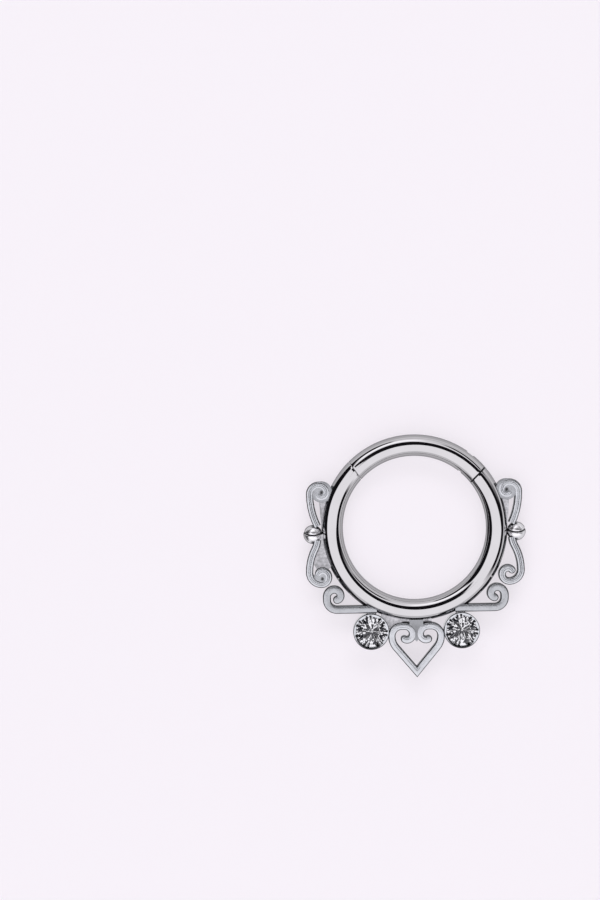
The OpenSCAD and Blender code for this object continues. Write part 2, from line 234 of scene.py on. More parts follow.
class Plan:
    """Sizes in millimetres, worked out once from the settings. The ring's centre is the origin
    of every shape, its middle plane is z = 0, and put() moves them to the frame in metres."""

    def __init__(self, settings):
        for group in (settings.wire, settings.filigree, settings.stones):
            for key in group.__annotations__:
                prop = group.bl_rna.properties[key]
                value = getattr(group, key)
                setattr(self, key, value / MM if prop.unit == "LENGTH" else value)
        self.wire_r = self.wire_d / 2
        self.mid_r = self.inner_d / 2 + self.wire_r
        self.outer_r = self.mid_r + self.wire_r
        self.pin_at = self.hinge_at + self.pin_turn
        self.pin_far = self.mid_r + self.pin_offset
        self.pin_xy = self.pin_far * heading(self.pin_at)
        self.heart_half = (self.heart_w - self.strip_w) / 2
        self.heart_top = -self.outer_r - self.heart_gap
        slope = math.radians(HEART_SLOPE)
        rise = HEART_RUN[0][0] * math.sin(slope) + HEART_RUN[1][0] * math.cos(slope)
        self.heart_start = (
            self.heart_top - self.strip_w / 2 - (rise + HEART_RUN[2][0]) * self.heart_half
        )
        tip_y = self.heart_start - self.strip_w / 2 / math.cos(slope)
        self.centre_y = -(self.outer_r + tip_y) / 2
        self.cup_r = self.stone_d / 2 + self.stone_gap + self.cup_wall
        self.cup_x = self.heart_w / 2 + self.cup_r - CUP_LAP
        self.bar_x = self.cup_x - self.cup_r / 3
        self.cup_y = -math.sqrt((self.outer_r + self.cup_gap + self.cup_r) ** 2 - self.cup_x**2)
        self.bead_x = self.outer_r + self.bead_d / 2 - self.bead_sink
        self.bead_y = BEAD_Y * self.outer_r
        latch_dir = self.latch_at + self.latch_lean
        self.latch_out = heading(latch_dir)
        self.latch_into = heading(latch_dir + math.pi / 2)
        self.nub_xy = self.mid_r * heading(self.latch_at) - self.nub_shift * self.latch_out
        arm = self.nub_xy - self.pin_xy
        self.nub_leaves = heading(math.atan2(arm[1], arm[0]) - math.pi / 2)

    def put(self, points):
        return (points + np.array([0, self.centre_y, self.wire_r])) * MM


def plan():
    return Plan(bpy.context.scene.septum_ring)


# Surfaces


def heading(angle):
    """Unit step in the direction of an angle counted from +X: (cosine, sine)."""
    return np.stack([np.cos(angle), np.sin(angle)], -1)


def polar(reach, angle, z):
    """Points at a reach and an angle round the ring's axis, at height z."""
    reach, angle, z = np.broadcast_arrays(reach, angle, z)
    return np.stack([reach * np.cos(angle), reach * np.sin(angle), z], -1)


def blend_rows(a, b, n):
    """n + 1 rows of points from a to b: a + share * (b - a)."""
    s = np.linspace(0, 1, n + 1)[:, None, None]
    return a[None] + s * (b - a)[None]


def grid(points, close=False):
    """A surface patch: rows x columns of points and the four-cornered faces between them.
    With close, the last column joins the first."""
    rows, cols = points.shape[:2]
    index = np.arange(rows * cols).reshape(rows, cols)
    right = np.roll(index, -1, 1) if close else index[:, 1:]
    left = index if close else index[:, :-1]
    faces = np.stack([left[:-1], left[1:], right[1:], right[:-1]], -1).reshape(-1, 4)
    return points.reshape(-1, 3), faces


def mirrored(patch, axis):
    points = patch[0].copy()
    points[:, axis] *= -1
    return (points, *patch[1:])


def in_painted_shade(patch):
    """Marks a patch whose faces take the piece's second material, the dark steel of painted shade."""
    return patch[0], patch[1], 1


def make_piece(name, patches, materials, body="ring", node="ring_body", sharp=38):
    """One object from surface patches: equal corners are merged, faces are turned outwards, and
    edges sharper than the given angle stay crisp."""
    counts = np.cumsum([0] + [len(p[0]) for p in patches])
    second = np.concatenate([np.full(len(p[1]), len(p) - 2, np.int32) for p in patches])
    points = plan().put(np.concatenate([p[0] for p in patches]))
    faces = np.concatenate([p[1] + c for p, c in zip(patches, counts)])
    mesh = bpy.data.meshes.new(name)
    mesh.vertices.add(len(points))
    mesh.vertices.foreach_set("co", points.astype(np.float32).ravel())
    mesh.loops.add(faces.size)
    mesh.loops.foreach_set("vertex_index", faces.astype(np.int32).ravel())
    mesh.polygons.add(len(faces))
    mesh.polygons.foreach_set("loop_start", np.arange(0, faces.size, 4, dtype=np.int32))
    mesh.update(calc_edges=True)
    mesh.polygons.foreach_set("material_index", second)
    shape = bmesh.new()
    shape.from_mesh(mesh)
    bmesh.ops.remove_doubles(shape, verts=shape.verts, dist=MERGE)
    bmesh.ops.dissolve_degenerate(shape, edges=shape.edges, dist=THIN)
    loose = [v for v in shape.verts if not v.link_faces]
    bmesh.ops.delete(shape, geom=loose, context="VERTS")
    bmesh.ops.recalc_face_normals(shape, faces=shape.faces)
    shape.to_mesh(mesh)
    shape.free()
    mesh.validate()
    mesh.polygons.foreach_set("use_smooth", np.ones(len(mesh.polygons), bool))
    mesh.set_sharp_from_angle(angle=math.radians(sharp))
    for material in materials:
        mesh.materials.append(material)
    piece = bpy.data.objects.new(name, mesh)
    bpy.context.scene.collection.objects.link(piece)
    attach(piece, body)
    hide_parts(node)


def make_pair(name, patches, materials):
    """A piece for the right side and its mirror image for the left."""
    make_piece(name + "_right", patches, materials)
    make_piece(name + "_left", [mirrored(q, 0) for q in patches], materials)


# The wire


# Columns of the section's top and side, rows of a rounded end and of the wires' whole length
TOP_COLUMNS = 27
SIDE_COLUMNS = 9
END_ROWS = 5
RING_ROWS = 220
SEGMENT_ROWS = 84


class WireSection:
    """The wire's round section, sampled so that columns fall on the slab |z| = flat."""

    def __init__(self, p, flat):
        self.p, self.flat = p, flat
        low = math.asin(flat / p.wire_r)
        self.top = np.linspace(low, math.pi - low, TOP_COLUMNS)
        self.inner = np.linspace(math.pi - low, math.pi + low, SIDE_COLUMNS)
        self.outer = np.linspace(low, -low, SIDE_COLUMNS)
        self.all = np.concatenate([
            self.top[:-1], self.inner[:-1], self.top[:-1] + math.pi,
            np.linspace(2 * math.pi - low, 2 * math.pi + low, SIDE_COLUMNS)[:-1],
        ])

    def at(self, phi, less=0.0):
        """(reach, height) of the section's points, the radius made less at rounded edges."""
        r = self.p.wire_r - less
        return self.p.mid_r + r * np.cos(phi), r * np.sin(phi)


def cut_angle(p, reach, at, lean, offset):
    """Angle at which a point at a given reach lies on a leaning cut: the cut is a plane whose
    distance from the axis is D, so reach * cos(angle - normal) = D."""
    normal = at + lean + math.pi / 2
    distance = p.mid_r * math.cos(at - normal) + offset
    return normal - np.arccos(distance / reach)


def cut_rows(p, section, phi, at, lean, gap, side, edge):
    """Rows that round the wire's end off: a quarter circle of radius edge between the wire's
    surface and the cut, from the cut inwards. side is 1 anticlockwise of the cut, else -1."""
    a = np.linspace(math.pi / 2, 0, END_ROWS)[:, None]
    less = edge * (1 - np.cos(a))
    reach, z = section.at(phi[None], less)
    offset = side * (gap / 2 + edge * (1 - np.sin(a)))
    return polar(reach, cut_angle(p, reach, at, lean, offset), z)


def between(p, section, phi, first, last, n):
    """Rows along the wire from one row of angles to another."""
    s = np.linspace(0, 1, n + 1)[:, None]
    reach, z = section.at(phi[None])
    return polar(reach, first + s * (last - first), z)


def angle_of(points, near):
    a = np.arctan2(points[..., 1], points[..., 0])
    return a + 2 * math.pi * np.round((near - a) / (2 * math.pi))


def side_edge(p, section, phi):
    """Rounding of the ends at the hinge, fading to none where tongue or slot runs on."""
    height = np.abs(p.wire_r * np.sin(phi)) - section.flat
    return p.edge * np.clip(height / EDGE_FADE, 0, 1)


def around_pin(p, loop, z, hole):
    """A flat face between a closed loop of points and the pin's round hole: each point of the
    loop is joined to the hole's point in the same direction."""
    back = p.pin_xy - FAN_BACK * heading(p.pin_at + math.pi / 2)
    way = np.arctan2(loop[:, 1] - back[1], loop[:, 0] - back[0])
    ring = np.concatenate([p.pin_xy + hole * heading(way), np.full((len(loop), 1), z)], 1)
    return grid(blend_rows(loop, ring, 2), close=True), ring


def slot_angle(p, reach):
    """Where the hinge slot ends: on the radius through the pin, or on a circle round the pin
    where the two meet: cos(turn) = (reach^2 + pin^2 - r^2) / (2 reach pin). Outside the pin r
    grows towards the wire's surface, which leaves room for the tongue when the ring opens."""
    outside = np.clip((reach - p.pin_far) / (p.outer_r - p.pin_far), 0, 1)
    r = p.knuckle_r + p.hinge_play + p.slot_room * outside
    c = (reach**2 + p.pin_far**2 - r**2) / (2 * reach * p.pin_far)
    return p.pin_at + np.arccos(np.clip(c, -1, 1))


def tongue_wall(p, section):
    """The tongue's edge, rows along its outline and columns from back to front: along the wire's
    outside, across to the round knuckle, about the pin and back along the wire's inside."""
    z = p.wire_r * np.sin(section.outer)
    half = np.sqrt(p.wire_r**2 - z**2)
    back = p.hinge_play + p.pin_d / 2
    out_dir, on_dir = heading(p.pin_at), heading(p.pin_at + math.pi / 2)

    def arc(reach):
        start = cut_angle(p, reach, p.hinge_at, p.hinge_lean, -p.hinge_gap / 2)
        stop = p.pin_at - np.arcsin(back / reach)
        s = np.linspace(0, 1, 10)[:, None]
        return polar(reach, start + s * (stop - start), z)

    outside, inside = arc(p.mid_r + half), arc(p.mid_r - half)[::-1]
    low = math.asin(back / p.knuckle_r)
    a = np.linspace(-low, math.pi + low, 33)[:, None]
    knuckle = np.empty((len(a), len(z), 3))
    knuckle[..., :2] = (p.pin_xy + p.knuckle_r * (np.cos(a) * out_dir + np.sin(a) * on_dir))[:, None]
    knuckle[..., 2] = z
    across_out = blend_rows(outside[-1], knuckle[0], 4)[1:-1]
    across_in = blend_rows(knuckle[-1], inside[0], 6)[1:-1]
    return np.concatenate([outside, across_out, knuckle, across_in, inside])


def latch_columns(p, outline):
    """Directions, in the cut's plane, from the nub's middle to the points of the wire's end."""
    flat = outline[:, :2] - p.nub_xy
    return np.arctan2(outline[:, 2], flat @ p.latch_out)


def latch_point(p, beta, reach, into):
    """Points at a reach round the nub's middle in the direction beta, pushed in along the wire."""
    beta, reach, into = np.broadcast_arrays(beta, reach, into)
    flat = (reach * np.cos(beta))[..., None] * p.latch_out + into[..., None] * p.latch_into
    return np.concatenate([p.nub_xy + flat, (reach * np.sin(beta))[..., None]], -1)


def latch_socket(p, outline):
    """The ring's end face and the socket in it. The socket is a ball carried out the way the nub
    leaves: its wall is r away along a direction d that points into the wire, and
    r / |d - (d.o) o| where d points along the way out, o."""
    beta = latch_columns(p, outline)
    r = p.nub_r + p.nub_play
    out = np.array([p.nub_leaves @ p.latch_out, 0, p.nub_leaves @ p.latch_into])

    def wall(gamma):
        d = np.stack(np.broadcast_arrays(
            np.cos(gamma) * np.cos(beta), np.cos(gamma) * np.sin(beta), np.sin(gamma)), -1)
        along = d @ out
        across = np.linalg.norm(d - np.maximum(along, 0)[..., None] * out, axis=-1)
        return r / across

    gamma = np.full_like(beta, 0.1)
    for _ in range(30):
        gamma = np.arcsin(np.clip(p.latch_gap / 2 / wall(gamma), 0, 1))
    rows = gamma[None] + np.linspace(0, 1, 14)[:, None] * (math.pi / 2 - gamma[None])
    reach = wall(rows)
    hollow = latch_point(p, beta, reach * np.cos(rows), reach * np.sin(rows))
    return [grid(blend_rows(outline, hollow[0], 3), close=True), grid(hollow, close=True)]


def latch_nub(p, outline):
    """The segment's end face and its nub: a short peg that ends in half a ball."""
    beta = latch_columns(p, outline)
    face = latch_point(p, beta, p.nub_r, -p.latch_gap / 2)
    a = np.linspace(0, math.pi / 2, 14)[:, None]
    dome = latch_point(p, beta, p.nub_r * np.cos(a), p.nub_r * np.sin(a))
    peg = np.concatenate([face[None], dome])
    return [grid(blend_rows(outline, face, 3), close=True), grid(peg, close=True)]


def ring_wire(p):
    """The lower part of the ring: a round wire from the latch to the hinge, a tongue in the
    middle of its hinge end and a socket in its latch end."""
    section = WireSection(p, p.tongue_t / 2)
    phi = section.all
    latch = cut_rows(p, section, phi, p.latch_at, p.latch_lean, p.latch_gap, 1, p.edge)
    edge = side_edge(p, section, phi)
    hinge = cut_rows(p, section, phi, p.hinge_at, p.hinge_lean, p.hinge_gap, -1, edge)[::-1]
    start, stop = angle_of(latch[-1], p.latch_at), angle_of(hinge[0], p.hinge_at + 2 * math.pi)
    wire = between(p, section, phi, start, stop, RING_ROWS)
    patches = [grid(wire, close=True)]
    # The sawn ends, the socket and the faces round the pin take the dark steel: painted shade.
    patches += [in_painted_shade(grid(latch, close=True)), in_painted_shade(grid(hinge, close=True))]
    patches += [in_painted_shade(q) for q in latch_socket(p, latch[0])]
    wall = tongue_wall(p, section)
    patches.append(grid(wall))
    n = TOP_COLUMNS
    shoulder = hinge[-1][:n]
    line = blend_rows(shoulder[:1], shoulder[-1:], n - 1)[:, 0]
    cap = grid(blend_rows(shoulder, line, 4))
    loop = np.concatenate([wall[:, 0], line[-2:0:-1]])
    face, ring = around_pin(p, loop, p.tongue_t / 2, p.pin_d / 2 + TONGUE_HOLE_PLAY)
    patches += [in_painted_shade(q) for q in (cap, mirrored(cap, 2), face, mirrored(face, 2))]
    patches.append(grid(blend_rows(ring, ring * [1, 1, -1], 2), close=True))
    return patches


def surface_z(p, flat):
    """Height of the wire's front surface over points: sqrt(r^2 - (reach - middle)^2)."""
    return np.sqrt(p.wire_r**2 - (np.linalg.norm(flat, axis=1) - p.mid_r) ** 2)


def pin_bore(p, ring):
    """The pin's bore in a cheek: its round wall, from a ring of points on the cheek's inner face
    to just under the wire's surface, and its end."""
    rim = ring.copy()
    rim[:, 2] = surface_z(p, ring[:, :2]) - BORE_SINK
    middle = np.broadcast_to(np.append(p.pin_xy, rim[:, 2].mean()), rim.shape)
    return [grid(blend_rows(ring, rim, 2), close=True), grid(blend_rows(rim, middle, 1), close=True)]


def hinged_segment(p):
    """The upper part of the ring: the same wire, forked into two cheeks at the hinge and with a
    nub at its free end."""
    section = WireSection(p, p.tongue_t / 2 + p.hinge_play)
    phi = section.all
    latch = cut_rows(p, section, phi, p.latch_at, p.latch_lean, p.latch_gap, -1, p.edge)[::-1]
    reach, _ = section.at(phi)
    start = slot_angle(p, reach)
    wire = between(p, section, phi, start, angle_of(latch[0], p.latch_at), SEGMENT_ROWS)
    # The sawn end, the nub's face, the cheeks' ends and faces, the bore and the slot's wall take the
    # dark steel: painted shade.
    patches = [grid(wire, close=True), in_painted_shade(grid(latch, close=True))]
    face, peg = latch_nub(p, latch[-1])
    patches += [in_painted_shade(face), peg]
    edge = side_edge(p, section, section.top)
    hinge = cut_rows(p, section, section.top, p.hinge_at, p.hinge_lean, p.hinge_gap, 1, edge)
    reach, _ = section.at(section.top)
    outside = between(
        p, section, section.top, angle_of(hinge[-1], p.hinge_at), slot_angle(p, reach), 14
    )
    cheek = np.concatenate([hinge, outside[1:]])
    ends = [in_painted_shade(grid(hinge)), grid(outside)]
    line = blend_rows(cheek[0][:1], cheek[0][-1:], TOP_COLUMNS - 1)[:, 0]
    cap = grid(blend_rows(cheek[0], line, 4))
    z = p.wire_r * np.sin(section.outer)[None]
    s = np.linspace(1, -1, 41)[:, None]
    reach = p.mid_r + s * np.sqrt(p.wire_r**2 - z**2)
    wall = polar(reach, slot_angle(p, reach), z)
    loop = np.concatenate([cheek[:-1, 0], wall[:, 0], cheek[-2::-1, -1], line[-2:0:-1]])
    face, ring = around_pin(p, loop, section.flat, p.pin_d / 2 + BORE_PLAY)
    ends += [in_painted_shade(q) for q in (cap, face, *pin_bore(p, ring))]
    patches += ends + [mirrored(q, 2) for q in ends]
    patches.append(in_painted_shade(grid(wall)))
    return patches


def hinge_pin(p):
    """A round pin whose two ends stop just under the wire's surface."""
    a = np.linspace(0, 2 * math.pi, 49)[:-1]
    rim = p.pin_xy + p.pin_d / 2 * heading(a)
    top = surface_z(p, rim) - PIN_SINK
    side = np.concatenate([rim, top[:, None]], 1)
    middle = np.broadcast_to(np.append(p.pin_xy, top.mean()), side.shape)
    cap = grid(blend_rows(side, middle, 2), close=True)
    return [grid(blend_rows(side * [1, 1, -1], side, 6), close=True), cap, mirrored(cap, 2)]


# Scrolls and heart


def along_run(run, start, unit, step=5.0):
    """Points and headings along a run. A bend of radius r from heading h0 to h has its points at
    side * r * (sin h - sin h0, cos h0 - cos h) from where it began."""
    place, h0 = np.array(start[:2], float) * unit, math.radians(start[2])
    points, headings = [place[None]], [np.array([h0])]
    for reach, degrees in run:
        r, side = reach * unit, np.sign(degrees)
        n = max(4, int(abs(degrees) / step))
        s = np.linspace(0, 1, n + 1)[1:]
        h = h0 + s * math.radians(degrees)
        if degrees:
            move = side * r * np.stack([np.sin(h) - math.sin(h0), math.cos(h0) - np.cos(h)], -1)
        else:
            move = s[:, None] * r * heading(h0)
        points.append(place + move)
        headings.append(h)
        place, h0 = place + move[-1], h[-1]
    return np.concatenate(points), np.concatenate(headings)


TOP_SHARES = np.linspace(-1, 1, 19)
ROUNDING = np.radians(np.linspace(15, 90, 6))


def sweep(points, headings, half_w, half_d, lines=(), line_depth=LINE_DEPTH):
    """A strip's section carried along a path: point + across * left + up. Its face is nearly
    flat, up = half depth - FACE_FALL * share^2 less a narrow bell at each engraved line, its
    corners are quarter circles of radius STRIP_EDGE, and the back is the face mirrored."""
    round_w = np.minimum(STRIP_EDGE, half_w)[:, None]
    flat_w = half_w[:, None] - round_w
    fade = half_w[:, None] / half_w.max()
    face = half_d[:, None] - FACE_FALL * fade * TOP_SHARES**2
    for at in lines:
        face = face - line_depth * fade * np.exp(-(((TOP_SHARES - at) / LINE_WIDTH) ** 2))
    low = half_d[:, None] - FACE_FALL * fade - round_w
    corner_x = flat_w + round_w * np.sin(ROUNDING)
    corner_z = low + round_w * np.cos(ROUNDING)
    across = np.concatenate([-corner_x[:, ::-1], flat_w * TOP_SHARES, corner_x], 1)
    up = np.concatenate([corner_z[:, ::-1], face, corner_z], 1)
    across = np.concatenate([across, across[:, ::-1]], 1)
    up = np.concatenate([up, -up[:, ::-1]], 1)
    left = heading(headings + math.pi / 2)
    flat = points[:, None] - across[..., None] * left[:, None]
    return np.concatenate([flat, up[..., None]], -1)


def closing(row):
    """A row of points drawn together to its middle, which closes an end."""
    return grid(blend_rows(row, np.broadcast_to(row.mean(0), row.shape), 2), close=True)


def strip_rows(run, start, unit, width, depth, lines=(), line_depth=LINE_DEPTH):
    """The strip's section carried along a run. Its far end is rounded over a quarter circle, in
    which the half width falls as the cosine a and the half depth by TIP_FALL * (1 - a)."""
    points, headings = along_run(run, start, unit)
    ending = np.linspace(0, math.pi / 2, 10)[1:]
    tip = points[-1] + (width / 2 * np.sin(ending))[:, None] * heading(headings[-1])
    a = np.cos(np.concatenate([np.zeros(len(points)), ending]))
    points = np.concatenate([points, tip])
    headings = np.concatenate([headings, np.full(len(ending), headings[-1])])
    half_d = depth / 2 - TIP_FALL * (1 - a)
    return sweep(points, headings, width / 2 * a, half_d, lines, line_depth)


def strip(run, start, unit, width, depth, lines=()):
    """A bent strip: its rows along a run, closed at the near end."""
    rows = strip_rows(run, start, unit, width, depth, lines)
    return [grid(rows, close=True), closing(rows[0])]


def slab(flat, up):
    """A closed slab from rings of flat points, the edge first and the middle last, and their
    heights: the front, the same face mirrored for the back, and the side between."""
    face = np.concatenate([flat, np.broadcast_to(up, flat.shape[:2])[..., None]], -1)
    front = grid(face, close=True)
    side = grid(blend_rows(face[0] * [1, 1, -1], face[0], 2), close=True)
    return [front, mirrored(front, 2), side]


def button(x, y, r, depth, dimple):
    """A round button whose face is domed and has a dimple at its middle: height is
    depth / 2 * (1 - q^4 / 100) less a narrow bell of the dimple's depth, q the share of r."""
    q = np.linspace(1, 0, 18)[:, None]
    a = np.linspace(0, 2 * math.pi, 49)[None, :-1]
    up = depth / 2 * (1 - q**4 * 0.01) - dimple * np.exp(-((q / 0.15) ** 2))
    flat = np.array([x, y]) + (r * q)[..., None] * heading(a)
    return slab(flat, up)


def half_heart(p):
    """The right half of the heart. Its first section is slid along the strip to the heart's
    middle line, so that the two halves meet in a mitre."""
    start = (0, p.heart_start / p.heart_half, HEART_SLOPE)
    rows = strip_rows(
        HEART_RUN, start, p.heart_half, p.strip_w, p.depth, HEART_LINES, HEART_LINE_DEPTH
    )
    go = heading(math.radians(HEART_SLOPE))
    rows[0, :, :2] -= (rows[0, :, 0] / go[0])[:, None] * go
    return grid(rows, close=True)


def neck(p):
    """The neck between ring and heart and the metal that fills the corners beside it: a plate
    whose outline runs from the ring down to the notch between the heart's curls."""
    high = -p.outer_r + 0.06
    low = p.heart_top - 0.56 * p.heart_half
    half = p.neck_w / 2
    right = [[half + x, high + y] for x, y in NECK_TOP] + [[half + x, low + y] for x, y in NECK_FOOT]
    left = [[-x, y] for x, y in right[::-1]]
    outline = np.array(right + [[0, low + NECK_TIP]] + left)[::-1]
    return plate(outline, p.depth / 2 - 0.012, 0.985)


def plate(corners, half_d, middle):
    """A thin plate inside a ring of corners. Its half depth is half_d at the edge and a share of
    it in the middle, and grows with the square of the way between them, like a meniscus."""
    s = np.linspace(0, 1, 9)[:-1, None]
    edge = np.concatenate([a + s * (b - a) for a, b in zip(corners, np.roll(corners, -1, 0))])
    centre = edge.mean(0)
    q = np.linspace(1, 0, 9)[:, None]
    flat = centre + q[..., None] * (edge - centre)[None]
    return slab(flat, half_d * (middle + (1 - middle) * q**2))


def web(p, corners, depth=1.0):
    """A thin web of solder between corners that are shares of the ring's outer radius."""
    return plate(np.array(corners) * p.outer_r, p.web_t / 2 * depth, 0.86)


def cup_post(p, side):
    """Solder between the bar and the top of the cup: a short rounded bar."""
    x = side * (p.bar_x + p.cup_r * 0.3)
    y = np.linspace(BAR_Y * p.outer_r, p.cup_y + 0.8 * p.cup_r, 9)
    s = np.linspace(-1, 1, 9)
    half_w = p.cup_r * (0.26 + 0.06 * s**2)
    points = np.stack([np.full(9, x), y], -1)
    rows = sweep(points, np.full(9, -math.pi / 2), half_w, np.full(9, p.web_t / 2))
    return [grid(rows, close=True), closing(rows[0]), closing(rows[-1])]


def bead(p, side):
    """A ball with a groove round it. Its radius at a height angle v over the ball's own equator
    is r less a bell of the groove's depth at the groove's angle; the ball's axis leans to the
    front."""
    r = p.bead_d / 2
    groove_at = math.asin(GROOVE_RISE)
    fine = groove_at + np.linspace(-0.25, 0.25, 25)
    v = np.sort(np.concatenate([np.linspace(-math.pi / 2, math.pi / 2, 49), fine]))[:, None]
    u = np.linspace(0, 2 * math.pi, 73)[None, :-1]
    reach = r - p.groove_depth * np.exp(-(((v - groove_at) * r / (p.groove_w / 2)) ** 2))
    lean = math.radians(BEAD_LEAN)
    x = reach * np.cos(v) * np.cos(u)
    y = reach * np.cos(v) * np.sin(u)
    z = reach * np.sin(v) + 0 * u
    ball = np.stack([
        side * p.bead_x + x,
        p.bead_y + y * math.cos(lean) + z * math.sin(lean),
        -y * math.sin(lean) + z * math.cos(lean),
    ], -1)
    # The groove takes the dark steel: painted shade.
    rows = np.flatnonzero(np.abs(v[:, 0] - groove_at) * r < p.groove_w * 0.45)
    first, last = rows[0], rows[-1]
    return [
        grid(ball[:first + 1], close=True),
        in_painted_shade(grid(ball[first:last + 1], close=True)),
        grid(ball[last:], close=True),
    ]


def arc_profile(x, z, r, first, last, n=7):
    """Points on an arc of a profile: (x + r cos a, z + r sin a)."""
    a = np.radians(np.linspace(first, last, n))
    return np.stack([x + r * np.cos(a), z + r * np.sin(a)], -1)


def cup(p, side):
    """A bezel cup: a profile turned once round the stone's axis. From the back hole out, up the
    wall, over the rounded rim, down the bore and the cone under the stone."""
    girdle_z = p.point_up + PAVILION * p.stone_d
    slope = CROWN * p.stone_d / (p.stone_d / 2 * (1 - TABLE))
    rim_z = girdle_z + GIRDLE * p.stone_d + p.stone_gap
    top = rim_z + p.rim_lap * slope
    bore = p.stone_d / 2 + p.stone_gap
    back = p.cup_back_d / 2
    seat_h = PAVILION * p.stone_d * (1 - back / bore)
    profile = np.concatenate([
        arc_profile(back + 0.05, 0.05, 0.05, 180, 270),
        arc_profile(p.cup_r - 0.08, 0.08, 0.08, -90, 0),
        arc_profile(p.cup_r - 0.03, top + p.bevel_h - 0.03, 0.03, 0, 90, 5),
        arc_profile(bore - p.rim_lap + 0.045, top - 0.03, 0.03, 90, 210, 6),
        [[bore, rim_z]],
        [[bore, girdle_z - p.stone_gap]],
        [[back, girdle_z - p.stone_gap - seat_h]],
    ])
    a = np.linspace(0, 2 * math.pi, 97)[None, :-1]
    flat = np.array([side * p.cup_x, p.cup_y]) + profile[:, :1, None] * heading(a)
    up = np.broadcast_to(profile[:, 1:2] - p.wire_r, flat.shape[:2])
    rows = np.concatenate([flat, up[..., None]], -1)
    # The bore and the seat under the stone take the dark steel: painted shade.
    return [grid(rows[:-3], close=True),
            in_painted_shade(grid(np.concatenate([rows[-4:], rows[:1]]), close=True))]


# Materials


class Nodes:
    """Short calls for the nodes of a material or of the world."""

    def __init__(self, owner):
        owner.use_nodes = True
        self.tree = owner.node_tree
        self.tree.nodes.clear()

    def feed(self, value, socket):
        """Links another node's output to a socket, or sets the socket's own value."""
        if isinstance(value, bpy.types.NodeSocket):
            self.tree.links.new(value, socket)
        elif socket.type == "RGBA":
            socket.default_value = (*value, 1)
        else:
            socket.default_value = value

    def node(self, kind, **values):
        """A new node with its settings and sockets given by name."""
        made = self.tree.nodes.new(kind)
        for key, value in values.items():
            if key in made.inputs:
                self.feed(value, made.inputs[key])
            else:
                setattr(made, key, value)
        return made

    def axes(self, vector):
        return self.node("ShaderNodeSeparateXYZ", Vector=vector).outputs

    def math(self, kind, *values):
        made = self.node("ShaderNodeMath", operation=kind)
        for socket, value in zip(made.inputs, values):
            self.feed(value, socket)
        return made.outputs[0]

    def rescale(self, value, low, high, first=0, last=1, kind="LINEAR"):
        """Turns a value between low and high into one between first and last."""
        made = self.node("ShaderNodeMapRange", interpolation_type=kind, Value=value)
        names = ("From Min", "From Max", "To Min", "To Max")
        for name, given in zip(names, (low, high, first, last)):
            self.feed(given, made.inputs[name])
        return made.outputs[0]

    def step(self, value, edge, soft):
        """0 below the edge, 1 above it, smooth over soft on both sides."""
        return self.rescale(value, edge - soft, edge + soft, kind="SMOOTHSTEP")

    def band(self, value, low, high, soft):
        """1 between low and high, falling to 0 over soft on both sides."""
        falling = self.rescale(value, high - soft, high + soft, 1, 0, "SMOOTHSTEP")
        return self.math("MULTIPLY", self.step(value, low, soft), falling)

    def mixed(self, amount, a, b):
        """The colour a where the amount is 0, b where it is 1."""
        return self.node("ShaderNodeMix", data_type="RGBA", Factor=amount, A=a, B=b).outputs["Result"]


# Noise is a half on average and mostly keeps within this much of it
NOISE_REACH = 0.2
# The tint of steel seen at a glance, and the darkest tone
EDGE_TINT = (0.45, 0.45, 0.46)
BLACK = (0.01, 0.01, 0.012)
# Heights off the middle plane, in millimetres, for painted shade on the strips. Faces are bright above
# the first height, side walls are bright by WALL_SHARE up to WALL_TOP, and a dark band of painted shade
# lies between, along the rounded edges and in the engraved lines; the walls' dimmer share is painted
# shade too
PAINTED_SHADE_TOP, PAINTED_SHADE_SOFT = 0.379, 0.009
WALL_TOP, WALL_SOFT, WALL_SHARE = 0.28, 0.03, 0.6
# Height under which the beads are painted dark round their outline, painted shade, and its softness
BEAD_PAINTED_SHADE_TOP, BEAD_PAINTED_SHADE_SOFT = 0.2, 0.07
# The cups' bright-cut rim: height over the floor, and width of the painted shade along its outer edge
RIM_Z, RIM_SHADE_W = 1.14, 0.035
# Reach of the stones' painted dark reflections from the stone's middle, in millimetres
DASH_FROM, DASH_SWAY, DASH_TO = 0.66, 0.07, 0.925
STROKE_FROM, STROKE_TO = 0.1, 0.5


